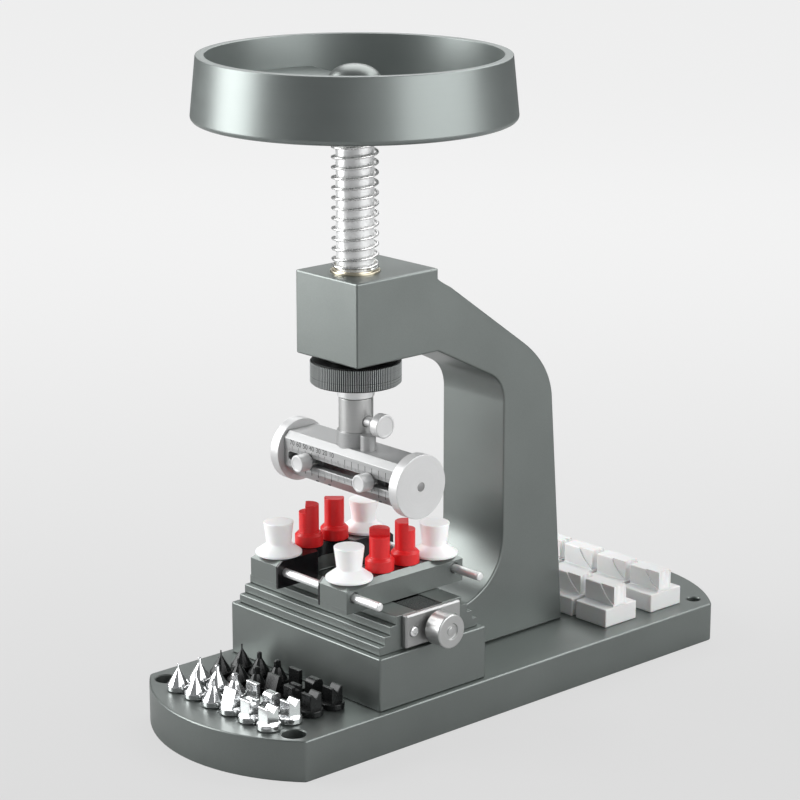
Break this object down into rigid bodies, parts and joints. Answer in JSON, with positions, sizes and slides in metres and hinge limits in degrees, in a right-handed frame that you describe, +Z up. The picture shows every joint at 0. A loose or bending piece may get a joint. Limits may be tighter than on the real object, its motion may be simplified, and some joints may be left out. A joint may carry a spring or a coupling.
{
  "type": "watch case press",
  "caption": "Bench press for watch cases: C-frame on a base plate, sprung hand wheel ram, adjustable die holder, two-jaw case vise, loose dies and blocks",
  "frame": {"origin": "bottom centre of the base plate, which is also the centre of the whole press's footprint", "axes": "+Z up along the ram; +X across the press along the vise screw and the die holder, towards the vise knob; +Y from the rack of dies to the column and the loose blocks"},
  "size_m": [0.1594, 0.336, 0.3317],
  "materials": {
    "frame_paint": "satin grey-green metallic paint",
    "polished_steel": "polished steel",
    "satin_steel": "satin turned steel",
    "brass": "turned brass",
    "dark_steel": "dark knurled steel",
    "black_oxide": "black oxide on steel",
    "chrome": "bright chrome",
    "black_plastic": "black moulded nylon",
    "white_nylon": "white nylon",
    "red_plastic": "satin red nylon"
  },
  "bodies": {
    "root": {"base_plate": "frame_paint", "c_frame": "frame_paint", "guide_bush": "brass", "vise_pedestal": "frame_paint", "vise_body": "frame_paint", "vise_end_plate": "satin_steel", "plate_screw_front": "polished_steel", "plate_screw_rear": "polished_steel", "screw_bearing": "black_oxide", "return_spring": "polished_steel", "press_bit_row_2": "chrome", "press_bit_row_3": "black_oxide", "press_bit_row_4": "black_oxide"},
    "lock_ring": {"knurled_ring": "dark_steel"},
    "spring_seat": {"spring_seat": "polished_steel"},
    "ram": {"spindle": "polished_steel", "handwheel": "frame_paint", "wheel_cap": "frame_paint"},
    "holder": {"nose_sleeve": "satin_steel", "holder_beam": "satin_steel", "end_cap_left": "satin_steel", "end_cap_right": "satin_steel", "cap_screw": "polished_steel"},
    "nose_screw": {"nose_lock_screw": "satin_steel"},
    "carriage_left": {"die_carriage_left": "satin_steel"},
    "carriage_right": {"die_carriage_right": "satin_steel"},
    "carriage_left_screw": {"carriage_screw_left": "satin_steel"},
    "carriage_right_screw": {"carriage_screw_right": "satin_steel"},
    "vise_screw": {"vise_leadscrew": "polished_steel", "vise_knob": "satin_steel"},
    "left_jaw": {"jaw_left": "frame_paint", "jaw_insert_left": "black_plastic", "jaw_nut_left": "black_oxide", "guide_rod_front": "polished_steel", "guide_rod_rear": "polished_steel"},
    "right_jaw": {"jaw_right": "frame_paint", "jaw_insert_right": "black_plastic", "jaw_nut_right": "black_oxide"},
    "white_cup_left_front_body": {"white_cup_left_front": "white_nylon"},
    "red_pin_left_front_body": {"red_pin_left_front": "red_plastic"},
    "white_cup_left_rear_body": {"white_cup_left_rear": "white_nylon"},
    "red_pin_left_rear_body": {"red_pin_left_rear": "red_plastic"},
    "white_cup_right_front_body": {"white_cup_right_front": "white_nylon"},
    "red_pin_right_front_body": {"red_pin_right_front": "red_plastic"},
    "white_cup_right_rear_body": {"white_cup_right_rear": "white_nylon"},
    "red_pin_right_rear_body": {"red_pin_right_rear": "red_plastic"},
    "case_block_1_1_body": {"case_block_1_1": "white_nylon"},
    "case_block_1_2_body": {"case_block_1_2": "white_nylon"},
    "case_block_1_3_body": {"case_block_1_3": "white_nylon"},
    "case_block_1_4_body": {"case_block_1_4": "white_nylon"},
    "case_block_2_1_body": {"case_block_2_1": "white_nylon"},
    "case_block_2_2_body": {"case_block_2_2": "white_nylon"},
    "case_block_2_3_body": {"case_block_2_3": "white_nylon"},
    "case_block_2_4_body": {"case_block_2_4": "white_nylon"},
    "press_bit_1_body": {"press_bit_1": "chrome"},
    "press_bit_2_body": {"press_bit_2": "chrome"},
    "press_bit_3_body": {"press_bit_3": "chrome"},
    "press_bit_4_body": {"press_bit_4": "chrome"},
    "press_bit_5_body": {"press_bit_5": "chrome"},
    "press_bit_6_body": {"press_bit_6": "chrome"}
  },
  "joints": [
    {"name": "lock_ring_turn", "type": "hinge", "parent": "root", "child": "lock_ring", "pos_m": [0, -0.0584, 0.175], "axis": [0, 0, 1], "continuous": true},
    {"name": "press_stroke", "type": "slide", "parent": "root", "child": "spring_seat", "axis": [0, 0, 1], "range_m": [-0.0115, 0], "stiffness_N_per_m": 1500, "springref_m": 0.04, "deforming": ["return_spring"]},
    {"name": "ram_turn", "type": "hinge", "parent": "spring_seat", "child": "ram", "pos_m": [0, -0.0584, 0.25], "axis": [0, 0, 1], "continuous": true},
    {"name": "holder_swivel", "type": "hinge", "parent": "ram", "child": "holder", "pos_m": [0, -0.0584, 0.15], "axis": [0, 0, 1], "range_deg": [-180, 180]},
    {"name": "nose_screw_turn", "type": "hinge", "parent": "holder", "child": "nose_screw", "pos_m": [0.015, -0.0584, 0.1508], "axis": [1, 0, 0], "range_deg": [0, 720]},
    {"name": "carriage_left_slide", "type": "slide", "parent": "holder", "child": "carriage_left", "axis": [1, 0, 0], "range_m": [-0.008, 0.0155]},
    {"name": "carriage_right_slide", "type": "slide", "parent": "holder", "child": "carriage_right", "axis": [-1, 0, 0], "range_m": [-0.008, 0.0155]},
    {"name": "carriage_left_screw_turn", "type": "hinge", "parent": "carriage_left", "child": "carriage_left_screw", "pos_m": [-0.023, -0.0734, 0.1258], "axis": [0, -1, 0], "range_deg": [0, 720]},
    {"name": "carriage_right_screw_turn", "type": "hinge", "parent": "carriage_right", "child": "carriage_right_screw", "pos_m": [0.023, -0.0734, 0.1258], "axis": [0, -1, 0], "range_deg": [0, 720]},
    {"name": "vise_knob_turn", "type": "hinge", "parent": "root", "child": "vise_screw", "pos_m": [0.06, -0.0584, 0.0573], "axis": [1, 0, 0], "range_deg": [-2190, 1320]},
    {"name": "left_jaw_slide", "type": "slide", "parent": "root", "child": "left_jaw", "axis": [-1, 0, 0], "range_m": [-0.0121, 0.0073]},
    {"name": "right_jaw_slide", "type": "slide", "parent": "root", "child": "right_jaw", "axis": [1, 0, 0], "range_m": [-0.0121, 0.0073]},
    {"name": "white_cup_left_front_lift", "type": "slide", "parent": "left_jaw", "child": "white_cup_left_front_body", "axis": [0, 0, 1], "range_m": [0, 0.01]},
    {"name": "red_pin_left_front_lift", "type": "slide", "parent": "left_jaw", "child": "red_pin_left_front_body", "axis": [0, 0, 1], "range_m": [0, 0.01]},
    {"name": "white_cup_left_rear_lift", "type": "slide", "parent": "left_jaw", "child": "white_cup_left_rear_body", "axis": [0, 0, 1], "range_m": [0, 0.01]},
    {"name": "red_pin_left_rear_lift", "type": "slide", "parent": "left_jaw", "child": "red_pin_left_rear_body", "axis": [0, 0, 1], "range_m": [0, 0.01]},
    {"name": "white_cup_right_front_lift", "type": "slide", "parent": "right_jaw", "child": "white_cup_right_front_body", "axis": [0, 0, 1], "range_m": [0, 0.01]},
    {"name": "red_pin_right_front_lift", "type": "slide", "parent": "right_jaw", "child": "red_pin_right_front_body", "axis": [0, 0, 1], "range_m": [0, 0.01]},
    {"name": "white_cup_right_rear_lift", "type": "slide", "parent": "right_jaw", "child": "white_cup_right_rear_body", "axis": [0, 0, 1], "range_m": [0, 0.01]},
    {"name": "red_pin_right_rear_lift", "type": "slide", "parent": "right_jaw", "child": "red_pin_right_rear_body", "axis": [0, 0, 1], "range_m": [0, 0.01]},
    {"name": "case_block_1_1_lift", "type": "slide", "parent": "root", "child": "case_block_1_1_body", "axis": [0, 0, 1], "range_m": [0, 0.03]},
    {"name": "case_block_1_2_lift", "type": "slide", "parent": "root", "child": "case_block_1_2_body", "axis": [0, 0, 1], "range_m": [0, 0.03]},
    {"name": "case_block_1_3_lift", "type": "slide", "parent": "root", "child": "case_block_1_3_body", "axis": [0, 0, 1], "range_m": [0, 0.03]},
    {"name": "case_block_1_4_lift", "type": "slide", "parent": "root", "child": "case_block_1_4_body", "axis": [0, 0, 1], "range_m": [0, 0.03]},
    {"name": "case_block_2_1_lift", "type": "slide", "parent": "root", "child": "case_block_2_1_body", "axis": [0, 0, 1], "range_m": [0, 0.03]},
    {"name": "case_block_2_2_lift", "type": "slide", "parent": "root", "child": "case_block_2_2_body", "axis": [0, 0, 1], "range_m": [0, 0.03]},
    {"name": "case_block_2_3_lift", "type": "slide", "parent": "root", "child": "case_block_2_3_body", "axis": [0, 0, 1], "range_m": [0, 0.03]},
    {"name": "case_block_2_4_lift", "type": "slide", "parent": "root", "child": "case_block_2_4_body", "axis": [0, 0, 1], "range_m": [0, 0.03]},
    {"name": "press_bit_1_lift", "type": "slide", "parent": "root", "child": "press_bit_1_body", "axis": [0, 0, 1], "range_m": [0, 0.02]},
    {"name": "press_bit_2_lift", "type": "slide", "parent": "root", "child": "press_bit_2_body", "axis": [0, 0, 1], "range_m": [0, 0.02]},
    {"name": "press_bit_3_lift", "type": "slide", "parent": "root", "child": "press_bit_3_body", "axis": [0, 0, 1], "range_m": [0, 0.02]},
    {"name": "press_bit_4_lift", "type": "slide", "parent": "root", "child": "press_bit_4_body", "axis": [0, 0, 1], "range_m": [0, 0.02]},
    {"name": "press_bit_5_lift", "type": "slide", "parent": "root", "child": "press_bit_5_body", "axis": [0, 0, 1], "range_m": [0, 0.02]},
    {"name": "press_bit_6_lift", "type": "slide", "parent": "root", "child": "press_bit_6_body", "axis": [0, 0, 1], "range_m": [0, 0.02]}
  ],
  "couplings": [
    {"joint": "right_jaw_slide", "follows": "left_jaw_slide", "ratio": 1},
    {"joint": "vise_knob_turn", "follows": "left_jaw_slide", "rad_per_m": 3144.7}
  ]
}
